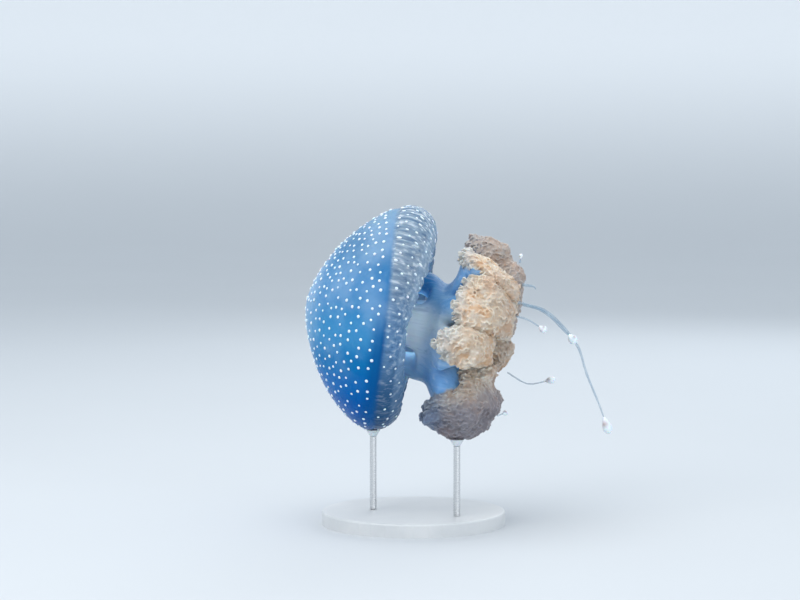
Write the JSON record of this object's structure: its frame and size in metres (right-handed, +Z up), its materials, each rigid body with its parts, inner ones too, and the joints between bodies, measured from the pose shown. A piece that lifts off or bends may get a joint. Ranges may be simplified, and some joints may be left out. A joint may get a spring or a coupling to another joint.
{
  "type": "white-spotted jellyfish model",
  "caption": "Life-size still model of a swimming white-spotted jellyfish with frilled oral arms and trailing clubs, held by a plain display stand.",
  "frame": {"origin": "middle of the underside of the stand's base, on the floor", "axes": "+Z up; -X the way the animal swims, towards the apex of its bell; +Y away from the side it is looked at from"},
  "size_m": [0.2001, 0.1483, 0.2079],
  "materials": {
    "bell": "milky blue gel with raised white warts",
    "margin": "grey-blue gel with fine radial furrows and lappets",
    "column": "pale blue translucent gel",
    "frill": "cream and brown frills, soft and uneven",
    "filament": "clear blue-green gel",
    "club": "milky white gel",
    "stand_base": "satin grey",
    "stand_rod": "brushed",
    "stand_pad": "clear soft rubber"
  },
  "bodies": {
    "root": {"arm_disc": "column", "arm_frill_1": "frill", "arm_frill_2": "frill", "arm_frill_3": "frill", "arm_frill_4": "frill", "arm_frill_5": "frill", "arm_frill_6": "frill", "arm_frill_7": "frill", "arm_frill_8": "frill", "bell_dome": "bell", "bell_margin_1": "margin", "bell_margin_2": "margin", "bell_margin_3": "margin", "bell_margin_4": "margin", "bell_margin_5": "margin", "bell_margin_6": "margin", "bell_margin_7": "margin", "bell_margin_8": "margin", "club_1": "club", "club_2": "club", "club_3": "club", "club_4": "club", "club_5": "club", "club_6": "club", "filament_1_a": "filament", "filament_1_b": "filament", "filament_2_a": "filament", "filament_2_b": "filament", "filament_2_c": "filament", "filament_3": "filament", "filament_4": "filament", "filament_5": "filament", "filament_6": "filament", "filament_7": "filament", "oral_arm_1": "column", "oral_arm_2": "column", "oral_arm_3": "column", "oral_arm_4": "column", "oral_arm_5": "column", "oral_arm_6": "column", "oral_arm_7": "column", "oral_arm_8": "column", "pillar_1": "column", "pillar_2": "column", "pillar_3": "column", "pillar_4": "column", "stand_base": "stand_base", "stand_pad_arms": "stand_pad", "stand_pad_bell": "stand_pad", "stand_rod_arms": "stand_rod", "stand_rod_bell": "stand_rod"}
  },
  "joints": []
}
